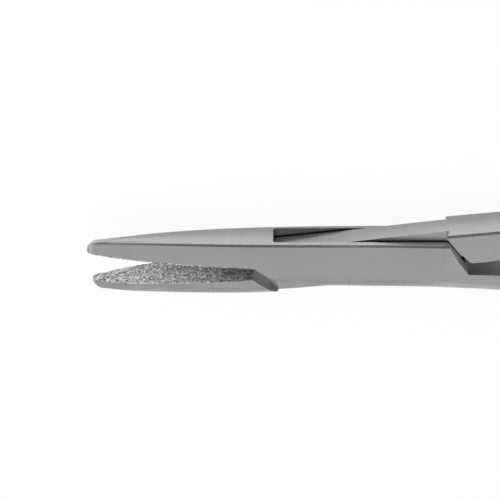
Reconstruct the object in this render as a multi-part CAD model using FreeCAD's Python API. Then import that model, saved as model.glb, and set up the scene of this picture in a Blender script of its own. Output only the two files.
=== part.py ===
import FreeCAD, Part
import math
import os
from FreeCAD import Rotation, Vector

os.makedirs("parts", exist_ok=True)

# Surgical needle holder with a box lock and grit coated jaws, in millimetres.
# X runs along the instrument, tips at -X and finger rings at +X.
# Z is the axis of the lock pin, and Z = 0 is the face of the lock that lies on the table.
# Both halves are drawn closed, with the jaw faces on the plane Y = 0, and then swung open.
# The box half has the jaw on the +Y side, the tongue half the shank on the +Y side.

# Opening of the two halves as the instrument lies
rest_opening_deg = 7.7

# Jaws: reach of each tip from the pin, and the length of the rounded nose
box_jaw_reach = 29.9
jaw_difference = 0.4
tongue_jaw_reach = box_jaw_reach - jaw_difference
nose_length = 1.5

# Sections of a jaw, as height of the back edge over the jaw face,
# half thickness at that back edge, and half thickness at the jaw face
nose_back, nose_edge, nose_face = 1.36, 0.44, 0.78
blade_x, blade_back, blade_edge, blade_face = -22.5, 2.02, 0.92, 1.74
root_x, root_back, root_edge, root_face = -12.0, 2.68, 1.57, 2.40

# Box lock and necks: half thickness over the flat lands, then five sections from the pin to the
# shanks, as place, half thickness at the back edge and at the jaw plane, and crown of the back
lock_half_thick = 2.42
lock_sections = (
    (0.0, 1.74, 2.58, 0.14),
    (8.0, 1.78, 2.72, 0.22),
    (14.0, 1.78, 2.84, 0.33),
    (19.0, 1.78, 2.70, 0.33),
    (28.0, 1.45, 1.55, 0.20),
)

# Height of the back edge at those five places
cheek_backs = (3.20, 3.38, 3.42, 3.45, 3.50)
upper_neck_backs = (3.15, 3.49, 3.57, 3.78, 4.10)
lower_neck_backs = (2.75, 2.59, 2.73, 2.90, 3.50)

# Slanted ends of the cheeks, of the window, and of the shoulders that face the cheeks.
# Each shoulder takes a second slant from a given height, where it runs out to the back.
front_reach, front_slant_deg = 11.3, 40.0
rear_reach, rear_slant_deg = 12.07, 34.0
jaw_shoulder_reach, jaw_shoulder_slant_deg = 11.62, 37.0
jaw_shoulder_bend, jaw_shoulder_end_deg = 2.1, 50.0
neck_shoulder_reach, neck_shoulder_slant_deg = 12.38, 35.5
neck_shoulder_bend, neck_shoulder_end_deg = 3.4, -45.0
window_reach, window_slant_deg = 11.8, 38.0
window_half_width = 1.16
window_corner_r = 0.3

# Bevel on the front end of each cheek: nothing at the jaw plane, and its width and depth
# at a given height from it, where the flank has dropped that much
bevel_height, bevel_drop, bevel_width, bevel_depth = 2.3, 0.47, 0.87, 0.6

# Lock pin, riveted in the cheeks and ground flush with them
pin_r = 1.4

# Gap between the necks, from the end of the lock back
split_end_x = 13.6
neck_x = 19.0
upper_neck_inner, lower_neck_inner = 0.75, 0.30
neck_inner_slope = 0.12

# Shanks from the neck to the rings, as height of the middle, width and thickness
shank_neck_thick = 4.0
shank_mid_x, shank_mid_centre, shank_mid_width, shank_mid_thick = 45.0, 4.4, 3.2, 3.5
shank_rear_x, shank_rear_centre, shank_rear_width, shank_rear_thick = 80.0, 6.9, 3.6, 3.6
shank_end_x, shank_end_centre, shank_end_width, shank_end_thick = 90.1, 10.4, 3.4, 3.5
shank_corner = 0.8
shank_inset = 0.06

# Ratchet bars across the gap between the shanks
ratchet_x = 79.0
ratchet_width = 5.0
ratchet_overlap = 4.0
ratchet_thick = 2.1
tooth_count = 3
tooth_pitch = 1.3
tooth_height = 0.6

# Finger rings, each a long loop of round wire as thick as the lock
ring_x, ring_y = 102.6, 15.2
ring_hole_length = 25.0
ring_hole_width = 19.0
ring_wire_r = lock_half_thick

# Grit bonded to the jaw faces
grit_thick = 0.13

# Crown of the jaw backs, swell of the flanks and the broken edge between them
back_crown = 0.26
flank_swell = 0.03
lock_flank_swell = 0.12
nose_break, blade_break, edge_break = 0.07, 0.10, 0.17

# Clearances
grit_clearance = 0.01
split_clearance = 0.03
side_clearance = 0.18
grit_end_clearance = 0.12
window_clearance = 0.25
pin_clearance = 0.03
ratchet_clearance = 0.06

# Reach of the cutting prisms past everything they cut
far = 40.0
wide = 8.0


def polygon_prism(points, low, high):
    """Upright prism over a closed outline in X and Y."""
    corners = [Vector(x, y, low) for x, y in points]
    face = Part.Face(Part.makePolygon(corners + corners[:1]))
    return face.extrude(Vector(0, 0, high - low))


def mirrored(shape):
    """The same shape on the other side of the jaw plane."""
    return shape.mirror(Vector(0, 0, 0), Vector(0, 1, 0))


def arc(start, middle, end):
    return Part.Arc(start, middle, end).toShape()


def below(point):
    return Vector(point.x, point.y, -point.z)


def ground_section(x, back, edge, face, crown, swell, edge_break):
    """Section of a ground bar: flat inside, swelled flanks, crowned back, broken back edges."""
    run = Vector(0, back, edge - face)
    run.normalize()
    turn = Vector(0, 2 * crown, -edge)
    turn.normalize()
    corner = Vector(x, back, edge)
    before = corner - run * edge_break
    after = corner + turn * edge_break
    foot = Vector(x, 0, face)
    bulge = (foot + before) * 0.5 + Vector(0, -run.z, run.y) * swell
    return Part.Wire([
        Part.makeLine(below(foot), foot),
        arc(foot, bulge, before),
        Part.makeLine(before, after),
        arc(after, Vector(x, back + crown, 0), below(after)),
        Part.makeLine(below(after), below(before)),
        arc(below(before), below(bulge), below(foot)),
    ])


def nose(reach):
    """Rounded tip: the first jaw section shrinking to the end like the end of an egg."""
    steps = 5
    sections = []
    for step in range(1, steps + 1):
        angle = math.radians(90.0 * step / steps)
        size = math.sin(angle)
        x = -reach + nose_length * (1 - math.cos(angle))
        section = ground_section(x, nose_back, nose_edge, nose_face, back_crown, flank_swell, nose_break)
        grow = FreeCAD.Matrix()
        grow.scale(1, size, size)
        sections.append(section.transformGeometry(grow))
    return Part.makeLoft(sections, True, False)


def ground_side(reach, backs):
    """One side of the closed instrument from the nose to the neck, above the jaw plane."""
    sections = [
        ground_section(nose_length - reach, nose_back, nose_edge, nose_face,
                       back_crown, flank_swell, nose_break),
        ground_section(blade_x, blade_back, blade_edge, blade_face,
                       back_crown, flank_swell, blade_break),
        ground_section(root_x, root_back, root_edge, root_face,
                       back_crown, lock_flank_swell, edge_break),
    ]
    for (x, edge, face, crown), back in zip(lock_sections, backs):
        sections.append(ground_section(x, back, edge, face, crown, lock_flank_swell, edge_break))
    return Part.makeLoft(sections, True, False).fuse(nose(reach))


def shank_section(x, centre, width, thick):
    """Rectangle with cut corners, square to the instrument."""
    inner, outer, half = centre - width / 2, centre + width / 2, thick / 2
    points = [(inner, shank_corner - half), (inner, half - shank_corner),
              (inner + shank_corner, half), (outer - shank_corner, half),
              (outer, half - shank_corner), (outer, shank_corner - half),
              (outer - shank_corner, -half), (inner + shank_corner, -half)]
    corners = [Vector(x, y, z) for y, z in points]
    return Part.makePolygon(corners + corners[:1])


def shank(neck_back, neck_inner):
    """Tapered bar from inside the neck out to the finger ring."""
    inner, outer = neck_inner + shank_inset, neck_back + shank_inset
    sections = [
        shank_section(neck_x, (inner + outer) / 2, outer - inner, shank_neck_thick),
        shank_section(shank_mid_x, shank_mid_centre, shank_mid_width, shank_mid_thick),
        shank_section(shank_rear_x, shank_rear_centre, shank_rear_width, shank_rear_thick),
        shank_section(shank_end_x, shank_end_centre, shank_end_width, shank_end_thick),
    ]
    return Part.makeLoft(sections, True, False)


# Outlines seen from above that share the closed instrument out between the two halves
front_run_out = math.tan(math.radians(front_slant_deg))
rear_run_out = math.tan(math.radians(rear_slant_deg))
window_run_out = math.tan(math.radians(window_slant_deg))
cut_height = lock_half_thick + 1


def half_turn(points):
    """The same outline turned half round about the pin."""
    return [(-x, -y) for x, y in points]


def cheek_outline():
    """Full thickness metal of the box half, between the slanted ends of its cheeks."""
    front = [(-far, split_clearance), (-front_reach, split_clearance),
             (-front_reach, -split_clearance), (wide * front_run_out - front_reach, -wide)]
    rear = [(far, -wide), (far, -split_clearance), (rear_reach, -split_clearance),
            (rear_reach, split_clearance), (rear_reach - wide * rear_run_out, wide)]
    return front + rear + [(-far, wide)]


def thick_outline(reach, slant_deg, bend, end_deg):
    """Full thickness metal of the tongue half in front of the lock, up to its shoulder."""
    bend_x = bend * math.tan(math.radians(slant_deg)) - reach
    end_x = bend_x + (wide - bend) * math.tan(math.radians(end_deg))
    return [(-far, -split_clearance), (-reach, -split_clearance), (bend_x, -bend),
            (end_x, -wide), (-far, -wide)]


def tongue_outline():
    """The milled tongue with what lies in front of it and behind it in its half."""
    reach = window_reach - window_clearance
    front = [(-far, -split_clearance), (-reach, -split_clearance), (wide * window_run_out - reach, wide)]
    return [(far, wide)] + half_turn(front) + [(-far, -wide)] + front


def window():
    """Slot right through the lock that the tongue turns in, with milled corners."""
    front = [(-far, 0), (-window_reach, 0), (wide * window_run_out - window_reach, wide)]
    outline = [(far, wide)] + half_turn(front) + [(-far, -wide)] + front
    slot = polygon_prism(outline, -window_half_width, window_half_width)
    corners = []
    for edge in slot.Edges:
        middle = edge.BoundBox.Center
        end_wall = abs(edge.tangentAt(edge.FirstParameter).z) < 0.1 and 2 < abs(middle.y) < wide - 1
        if end_wall and abs(middle.x) < window_reach:
            corners.append(edge)
    return slot.makeFillet(window_corner_r, corners)


def lock_lands(shape):
    """Grinds the flat lands on both faces of the lock."""
    slab = Part.makeBox(2 * 200, 2 * far, 2 * lock_half_thick, Vector(-200, -far, -lock_half_thick))
    return shape.common(slab)


def cheek_bevel():
    """Wedge ground off the front end of the upper cheek, from nothing at the jaw plane."""
    start = Vector(-front_reach, 0, lock_half_thick)
    edge = start + Vector(bevel_height * front_run_out, -bevel_height, -bevel_drop)
    on_flank = edge + Vector(bevel_width, 0, 0)
    on_end = edge - Vector(0, 0, bevel_depth)
    outside = edge + Vector(-bevel_width, -bevel_width, bevel_depth)
    reach = 2.0
    corners = [start] + [start + (point - start) * reach for point in (on_flank, on_end, outside)]
    faces = []
    for left_out in range(4):
        around = [corner for number, corner in enumerate(corners) if number != left_out]
        faces.append(Part.Face(Part.makePolygon(around + around[:1])))
    return Part.makeSolid(Part.makeShell(faces))


def inner_relief(neck_inner):
    """Gap ground between the necks from the end of the lock back."""
    end_x = lock_sections[-1][0]
    start = Vector(split_end_x, 0, 0)
    bend = Vector((split_end_x + neck_x) / 2, neck_inner * 0.36, 0)
    neck = Vector(neck_x + 1, neck_inner * 1.25, 0)
    end = Vector(end_x, neck.y + neck_inner_slope * (end_x - neck.x), 0)
    edges = [arc(start, bend, neck), Part.makeLine(neck, end),
             Part.makeLine(end, Vector(end_x, -wide, 0)),
             Part.makeLine(Vector(end_x, -wide, 0), Vector(split_end_x, -wide, 0)),
             Part.makeLine(Vector(split_end_x, -wide, 0), start)]
    prism = Part.Face(Part.Wire(edges)).extrude(Vector(0, 0, 2 * cut_height))
    return prism.translated(Vector(0, 0, -cut_height))


def finger_ring():
    """Long loop of round wire, drawn for the +Y side."""
    bend_r = ring_hole_width / 2 + ring_wire_r
    straight = Vector((ring_hole_length - ring_hole_width) / 2, 0, 0)
    centre = Vector(ring_x, ring_y, 0)
    side, end = Vector(0, bend_r, 0), Vector(bend_r, 0, 0)
    front, rear = centre - straight, centre + straight
    path = Part.Wire([
        arc(rear - side, rear + end, rear + side), Part.makeLine(rear + side, front + side),
        arc(front + side, front - end, front - side), Part.makeLine(front - side, rear - side),
    ])
    wire = Part.Wire(Part.makeCircle(ring_wire_r, rear - side, Vector(1, 0, 0)))
    return path.makePipeShell([wire], True, False)


def ratchet_bar():
    """Toothed bar of the box half: on the -Y shank, with its teeth facing down."""
    root = -shank_rear_centre
    tip = ratchet_overlap
    top = ratchet_clearance + ratchet_thick
    foot = ratchet_clearance + tooth_height
    points = [(root, top), (root, foot)]
    for tooth in range(tooth_count, 0, -1):
        y = tip - tooth * tooth_pitch
        points += [(y, foot), (y + tooth_pitch * 0.25, ratchet_clearance)]
    points += [(tip, foot), (tip, top)]
    corners = [Vector(ratchet_x, y, z) for y, z in points]
    bar = Part.Face(Part.makePolygon(corners + corners[:1])).extrude(Vector(ratchet_width, 0, 0))
    end_round = ratchet_width * 0.45
    ends = [edge for edge in bar.Edges
            if abs(edge.BoundBox.Center.y - tip) < 0.01 and edge.BoundBox.ZLength > ratchet_thick / 2]
    return bar.makeFillet(end_round, ends)


def upper_handle():
    """Shank and ring of the tongue half, on the +Y side."""
    return shank(upper_neck_backs[3], upper_neck_inner).fuse(finger_ring())


def lower_handle():
    """Shank and ring of the box half, on the -Y side."""
    return mirrored(shank(lower_neck_backs[3], lower_neck_inner).fuse(finger_ring()))


def closed_bar(upper_backs):
    """The closed instrument from the noses to the necks, both sides as one ground bar."""
    upper = ground_side(box_jaw_reach, upper_backs).cut(inner_relief(upper_neck_inner))
    lower = ground_side(tongue_jaw_reach, lower_neck_backs).cut(inner_relief(lower_neck_inner))
    return lock_lands(upper.fuse(mirrored(lower)))


# Each half keeps its own share of a closed bar
box_bar = closed_bar(cheek_backs)
tongue_bar = closed_bar(upper_neck_backs)
box_grit_root = window_reach + grit_end_clearance
tongue_grit_root = jaw_shoulder_reach


def grit_room(side, root, near=0.0):
    """Space of the grit on one jaw face, from the tip back to its root."""
    deep = side * grit_thick
    return polygon_prism([(-far, side * near), (-root, side * near), (-root, deep), (-far, deep)],
                         -cut_height, cut_height)


def box_half():
    """Forging with the box: jaw, two cheeks joined at both ends, shank, ratchet bar and ring."""
    cheeks = polygon_prism(cheek_outline(), -cut_height, cut_height)
    hole = Part.makeCylinder(pin_r, 2 * cut_height, Vector(0, 0, -cut_height))
    bevel = cheek_bevel()
    lower_bevel = bevel.mirror(Vector(0, 0, 0), Vector(0, 0, 1))
    taken = [window(), hole, grit_room(1, box_grit_root), bevel, lower_bevel]
    body = box_bar.common(cheeks).cut(taken)
    return body.fuse([lower_handle(), ratchet_bar()]).removeSplitter()


def tongue_half():
    """Forging that passes through the box: jaw, milled tongue, shank, ratchet bar and ring."""
    tongue_side = window_half_width - side_clearance
    tongue = polygon_prism(tongue_outline(), -tongue_side, tongue_side)
    jaw = polygon_prism(thick_outline(jaw_shoulder_reach, jaw_shoulder_slant_deg,
                                      jaw_shoulder_bend, jaw_shoulder_end_deg),
                        -cut_height, cut_height)
    neck = polygon_prism(half_turn(thick_outline(neck_shoulder_reach, neck_shoulder_slant_deg,
                                                 neck_shoulder_bend, neck_shoulder_end_deg)),
                         -cut_height, cut_height)
    hole = Part.makeCylinder(pin_r + pin_clearance, 2 * cut_height, Vector(0, 0, -cut_height))
    body = tongue_bar.common(tongue.fuse([jaw, neck])).cut([hole, grit_room(-1, tongue_grit_root)])
    bar = ratchet_bar().rotated(Vector(ratchet_x, 0, 0), Vector(1, 0, 0), 180)
    return body.fuse([upper_handle(), bar]).removeSplitter()


def lock_pin():
    """Rivet through both cheeks and the tongue, its ends ground flush."""
    rod = Part.makeCylinder(pin_r, 2 * cut_height, Vector(0, 0, -cut_height))
    return rod.common(box_bar)


def grit_coat(bar, side, root):
    """Layer of hard grit on a jaw face, flush with the flanks of its jaw."""
    return bar.common(grit_room(side, root, grit_clearance))


def swung(shape, angle):
    """Swings a piece open about the pin and stands the lock on Z = 0."""
    shape.Placement = FreeCAD.Placement(Vector(0, 0, lock_half_thick),
                                        Rotation(Vector(0, 0, 1), angle))
    return shape


half_opening = rest_opening_deg / 2
nodes = {
    "box_half": swung(box_half(), -half_opening),
    "lock_pin": swung(lock_pin(), -half_opening),
    "box_jaw_grit": swung(grit_coat(box_bar, 1, box_grit_root), -half_opening),
    "tongue_half": swung(tongue_half(), half_opening),
    "tongue_jaw_grit": swung(grit_coat(tongue_bar, -1, tongue_grit_root), half_opening),
}

for name, shape in nodes.items():
    shape.exportStep("parts/" + name + ".step")
    solids = len(shape.Solids)
    print(name, "solids", solids, "valid", shape.isValid(), "volume", round(shape.Volume, 2))
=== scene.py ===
import math

import bpy
from mathutils import Matrix, Vector


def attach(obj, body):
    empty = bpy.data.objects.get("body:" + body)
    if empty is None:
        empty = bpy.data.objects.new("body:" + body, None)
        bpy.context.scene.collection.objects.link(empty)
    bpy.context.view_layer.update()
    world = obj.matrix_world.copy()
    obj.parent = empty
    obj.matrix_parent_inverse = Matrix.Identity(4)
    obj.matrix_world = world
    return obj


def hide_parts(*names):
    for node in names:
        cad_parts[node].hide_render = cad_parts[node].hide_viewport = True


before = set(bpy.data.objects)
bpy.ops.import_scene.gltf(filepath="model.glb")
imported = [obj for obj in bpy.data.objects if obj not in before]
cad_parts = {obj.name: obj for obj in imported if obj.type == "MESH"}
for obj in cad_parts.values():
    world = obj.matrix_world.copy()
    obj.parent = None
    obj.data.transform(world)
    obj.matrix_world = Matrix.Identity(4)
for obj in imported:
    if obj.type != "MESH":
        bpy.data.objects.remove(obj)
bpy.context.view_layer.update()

# The two forged halves.
# Martensitic stainless steel, drop forged, ground across its length with a fine belt and then
# satin finished. The grind lines are drawn coarser than the usual 0.05 mm, so that they show.
MM = 0.001
rest_opening = math.radians(7.7)
grind_line = 0.22 * MM
grind_reach = 5.0 * MM
cloud_size = 6.0 * MM
steel_light, steel_dark = "C4C4C4", "BABABB"
roughness_low, roughness_high = 0.27, 0.32
grind_bump = 0.003 * MM


def colour(code):
    """Linear colour of an sRGB hex code."""
    parts = [int(code[i:i + 2], 16) / 255 for i in (0, 2, 4)]
    return [p / 12.92 if p <= 0.04045 else ((p + 0.055) / 1.055) ** 2.4 for p in parts] + [1.0]


def add(tree, kind, inputs=None, **settings):
    """Adds a node; an input that is given a socket is linked, any other value is set."""
    node = tree.nodes.new(kind)
    for name, value in settings.items():
        setattr(node, name, value)
    for name, value in (inputs or {}).items():
        if isinstance(value, bpy.types.NodeSocket):
            tree.links.new(value, node.inputs[name])
        else:
            node.inputs[name].default_value = value
    return node


def ramp(tree, factor, stops):
    """Adds a colour ramp with the given (place, hex) stops."""
    node = add(tree, "ShaderNodeValToRGB", {"Fac": factor})
    for place, code in stops[2:]:
        node.color_ramp.elements.new(place)
    for element, (place, code) in zip(node.color_ramp.elements, stops):
        element.position = place
        element.color = colour(code)
    return node.outputs["Color"]


def ground_steel(name, turn):
    """Satin ground stainless steel, its grind lines square to a half that is turned so far.

    The eye gets a neutral grey metal with soft edged reflections and faint lines up the flanks.
    """
    material = bpy.data.materials.new(name)
    material.use_nodes = True
    tree = material.node_tree
    shader = tree.nodes["Principled BSDF"]
    place = add(tree, "ShaderNodeTexCoord").outputs["Object"]
    along = add(tree, "ShaderNodeMapping", {
        "Vector": place, "Rotation": (0, 0, -turn)}).outputs[0]
    lines_at = add(tree, "ShaderNodeMapping", {
        "Vector": along,
        "Scale": (1 / grind_line, 1 / grind_reach, 1 / grind_reach)}).outputs[0]
    lines = add(tree, "ShaderNodeTexNoise", {
        "Vector": lines_at, "Scale": 1.0, "Detail": 2.0}).outputs["Fac"]
    clouds = add(tree, "ShaderNodeTexNoise", {
        "Vector": along, "Scale": 1 / cloud_size, "Detail": 2.0}).outputs["Fac"]
    both = add(tree, "ShaderNodeMath", {0: lines, 1: clouds}, operation="ADD").outputs[0]
    half = add(tree, "ShaderNodeMath", {0: both, 1: 0.5}, operation="MULTIPLY").outputs[0]
    ground = ramp(tree, half, [(0.3, steel_dark), (0.7, steel_light)])
    tree.links.new(ground, shader.inputs["Base Color"])
    rough = add(tree, "ShaderNodeMapRange", {
        "Value": lines, "From Min": 0.3, "From Max": 0.7,
        "To Min": roughness_low, "To Max": roughness_high}).outputs[0]
    tree.links.new(rough, shader.inputs["Roughness"])
    bump = add(tree, "ShaderNodeBump", {
        "Height": lines, "Strength": 0.3, "Distance": grind_bump})
    tree.links.new(bump.outputs[0], shader.inputs["Normal"])
    shader.inputs["Metallic"].default_value = 1.0
    return material


def dress(node, material):
    """Gives a node of the instrument its finish."""
    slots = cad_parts[node].data.materials
    slots.clear()
    slots.append(material)


box_steel = ground_steel("satin_ground_steel_box_half", -rest_opening / 2)
tongue_steel = ground_steel("satin_ground_steel_tongue_half", rest_opening / 2)
dress("box_half", box_steel)
dress("tongue_half", tongue_steel)

# The lock pin.
# A steel rivet of the same grade, hammered into the cheeks and ground away with them, so it
# takes the finish of the box and only a hairline could show where it ends.
dress("lock_pin", box_steel)

# Grit on the jaw faces.
# One layer of sharp carbide crystals bonded to the steel, patchy, with painted shade of the other
# jaw darkening it toward the lock.
# It is drawn coarser than the usual 0.1 mm, so that the crystals show.
grain = 0.17 * MM
grain_mesh = 0.045 * MM
grain_depth = 0.06 * MM
patch = 2.2 * MM
grain_share = 0.75
# painted shade: how dark the grit is made at the lock, and where along the jaw this painted shade
# of the other jaw fades in
painted_root_shade = 0.5
painted_root_shade_from, painted_root_shade_to = -17.3 * MM, -13.3 * MM
coat_faces = {"box_jaw_grit": ("box_side", -1), "tongue_jaw_grit": ("tongue_side", 1)}
# a remesh has a smallest voxel, so each coat is made at a hundred times its size
enlarged = 100


def bonded_grit():
    """Bonded carbide grit: dull grey, half metal, a mix of pale and dark crystals, with painted
    shade darkening it toward the lock.
    """
    material = bpy.data.materials.new("bonded_carbide_grit")
    material.use_nodes = True
    tree = material.node_tree
    shader = tree.nodes["Principled BSDF"]
    place = add(tree, "ShaderNodeTexCoord").outputs["Object"]
    grains = add(tree, "ShaderNodeTexVoronoi", {"Vector": place, "Scale": 1 / grain})
    tone = add(tree, "ShaderNodeSeparateColor", {
        "Color": grains.outputs["Color"]}).outputs[0]
    patches = add(tree, "ShaderNodeTexNoise", {
        "Vector": place, "Scale": 1 / patch, "Detail": 1.0}).outputs["Fac"]
    mixed = add(tree, "ShaderNodeMix", {
        "Factor": grain_share, "A": patches, "B": tone}).outputs[0]
    shade = ramp(tree, mixed, [
        (0.15, "606060"), (0.36, "A8A8A8"), (0.62, "CCCCCC"), (0.85, "F4F4F4")])
    along = add(tree, "ShaderNodeSeparateXYZ", {"Vector": place}).outputs["X"]
    # painted shade of the other jaw: the grit's colour is darkened toward the lock
    painted_jaw_shade = add(tree, "ShaderNodeMapRange", {
        "Value": along, "From Min": painted_root_shade_from, "From Max": painted_root_shade_to,
        "To Min": 1.0, "To Max": painted_root_shade}).outputs[0]
    toned = add(tree, "ShaderNodeVectorMath", {0: shade, 1: painted_jaw_shade}, operation="MULTIPLY").outputs[0]
    tree.links.new(toned, shader.inputs["Base Color"])
    shader.inputs["Metallic"].default_value = 0.35
    shader.inputs["Roughness"].default_value = 0.5
    return material


grain_shape = bpy.data.textures.new("grain_shape", "VORONOI")
grain_shape.noise_scale = grain * enlarged
grain_shape.distance_metric = "DISTANCE"
grit = bonded_grit()


def scale_all(factor):
    """Scales the whole mesh in edit mode about the origin."""
    bpy.ops.mesh.select_all(action="SELECT")
    bpy.ops.transform.resize(value=(factor, factor, factor), center_override=(0, 0, 0))


for node, (body, side) in coat_faces.items():
    coat = bpy.data.objects.new(node + "_coat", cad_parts[node].data.copy())
    bpy.context.scene.collection.objects.link(coat)
    bpy.ops.object.select_all(action="DESELECT")
    coat.select_set(True)
    bpy.context.view_layer.objects.active = coat
    bpy.ops.object.mode_set(mode="EDIT")
    bpy.ops.mesh.select_all(action="SELECT")
    bpy.ops.mesh.remove_doubles(threshold=0.001 * MM)
    scale_all(enlarged)
    bpy.ops.object.mode_set(mode="OBJECT")
    remesh = coat.modifiers.new("even_mesh", "REMESH")
    remesh.mode = "VOXEL"
    remesh.voxel_size = grain_mesh * enlarged
    bpy.ops.object.modifier_apply(modifier=remesh.name)
    face = coat.vertex_groups.new(name="grip_face")
    outward = [v.index for v in coat.data.vertices if v.normal.y * side > 0.9]
    face.add(outward, 1.0, "REPLACE")
    # the crystals are cut inwards, so their peaks stay level with the solid's face
    crystals = coat.modifiers.new("crystals", "DISPLACE")
    crystals.texture = grain_shape
    crystals.texture_coords = "LOCAL"
    crystals.vertex_group = face.name
    crystals.mid_level = 0.0
    crystals.strength = -grain_depth * enlarged
    bpy.ops.object.modifier_apply(modifier=crystals.name)
    bpy.ops.object.mode_set(mode="EDIT")
    scale_all(1 / enlarged)
    bpy.ops.mesh.faces_shade_flat()
    bpy.ops.object.mode_set(mode="OBJECT")
    coat.data.materials.clear()
    coat.data.materials.append(grit)
    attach(coat, body)
    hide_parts(node)

# Table.
# A sheet of white card that the instrument lies on. It reads as plain white to the camera,
# glows a little in the steel, and keeps the soft shadow under the instrument.
card_size = 3.0
card_glow_seen = 0.93
card_glow_mirrored = 0.15


def white_card():
    """Matt white card, so that it shows no gloss, only the instrument's soft shadow."""
    material = bpy.data.materials.new("white_card")
    material.use_nodes = True
    tree = material.node_tree
    shader = tree.nodes["Principled BSDF"]
    shader.inputs["Base Color"].default_value = colour("F2F2F2")
    shader.inputs["Roughness"].default_value = 0.9
    shader.inputs["Specular IOR Level"].default_value = 0.1
    glow = add(tree, "ShaderNodeEmission", {"Color": colour("FFFFFF"), "Strength": 1.0})
    path = add(tree, "ShaderNodeLightPath")
    seen = add(tree, "ShaderNodeMath", {
        0: path.outputs["Is Camera Ray"], 1: card_glow_seen}, operation="MULTIPLY")
    mirrored = add(tree, "ShaderNodeMath", {
        0: path.outputs["Is Glossy Ray"], 1: card_glow_mirrored}, operation="MULTIPLY")
    share = add(tree, "ShaderNodeMath", {
        0: seen.outputs[0], 1: mirrored.outputs[0]}, operation="ADD")
    mixed = add(tree, "ShaderNodeMixShader", {
        0: share.outputs[0], 1: shader.outputs[0], 2: glow.outputs[0]})
    tree.links.new(mixed.outputs[0], tree.nodes["Material Output"].inputs["Surface"])
    return material


bpy.ops.object.select_all(action="DESELECT")
bpy.ops.mesh.primitive_plane_add(size=card_size, location=(0, 0, 0))
card = bpy.context.object
card.name = "white_card"
card.data.materials.append(white_card())

# Lamps.
# A wide soft box leans over from the far side and fills the ground flanks, one shines on the
# tips and a low one on the backs. Two fills for the card and the grit don't show in the steel.


def soft_box(name, direction, distance, width, height, radiance):
    """Adds a rectangular lamp that looks at the pin; metres, and its face's radiance."""
    lamp = bpy.data.lights.new(name, "AREA")
    lamp.shape = "RECTANGLE"
    lamp.size, lamp.size_y = width, height
    lamp.energy = radiance * math.pi * width * height
    piece = bpy.data.objects.new(name, lamp)
    bpy.context.scene.collection.objects.link(piece)
    away = Vector(direction).normalized()
    piece.location = away * distance
    piece.rotation_euler = away.to_track_quat("Z", "Y").to_euler()
    return piece


soft_box("far_soft_box", (0, -0.52, 0.86), 0.8, 1.9, 2.0, 0.47)
soft_box("tip_soft_box", (-0.92, 0.0, 0.40), 0.8, 0.9, 0.7, 0.55)
soft_box("low_soft_box", (0, 0.97, 0.242), 0.8, 1.6, 0.4, 0.6)
for name, direction in (("card_fill", (-0.3, -0.65, 0.7)), ("jaw_fill", (-0.65, 0.6, 0.45))):
    fill = soft_box(name, direction, 0.9, 0.8, 0.6, 3.4)
    fill.visible_glossy = False

# the room is dim, so that the broken edges stay dark, and reads as white to the camera alone
room_light, room_mirrored = 0.13, 0.04
world = bpy.data.worlds.new("studio")
bpy.context.scene.world = world
world.use_nodes = True
room = world.node_tree
sky = room.nodes["Background"]
sky.inputs["Color"].default_value = colour("FFFFFF")
path = add(room, "ShaderNodeLightPath")
seen = add(room, "ShaderNodeMath", {
    0: path.outputs["Is Camera Ray"], 1: 1.0 - room_light, 2: room_light},
    operation="MULTIPLY_ADD").outputs[0]
strength = add(room, "ShaderNodeMath", {
    0: path.outputs["Is Glossy Ray"], 1: room_mirrored, 2: seen},
    operation="MULTIPLY_ADD").outputs[0]
room.links.new(strength, sky.inputs["Strength"])

# Camera.
# A long lens that looks down on the instrument from the side of the box half's jaw. It is
# turned so that the tips point left and the shanks leave by the right edge of the picture.
photo_size = 500
pixel = 0.11 * MM
pin_in_photo = (358.0, 257.3)
tilt = math.radians(42.0)
roll = rest_opening / 2 - math.radians(1.83)
lens = 300.0
sensor = 36.0
right = Vector((math.cos(roll), -math.sin(roll), 0))
back = Vector((math.sin(roll) * math.sin(tilt), math.cos(roll) * math.sin(tilt),
               math.cos(tilt)))
up = back.cross(right)
pin_middle = Vector((0, 0, 2.42 * MM))
target = (pin_middle - right * (pin_in_photo[0] - photo_size / 2) * pixel
          + up * (pin_in_photo[1] - photo_size / 2) * pixel)
distance = photo_size * pixel * lens / sensor
camera_data = bpy.data.cameras.new("camera")
camera_data.lens = lens
camera_data.sensor_width = sensor
camera_data.clip_start = 0.01
camera_data.clip_end = 10.0
camera = bpy.data.objects.new("camera", camera_data)
bpy.context.scene.collection.objects.link(camera)
camera.matrix_world = Matrix.Translation(target + back * distance) @ Matrix(
    (right, up, back)).transposed().to_4x4()
bpy.context.scene.camera = camera
bpy.context.scene.view_settings.view_transform = "Standard"
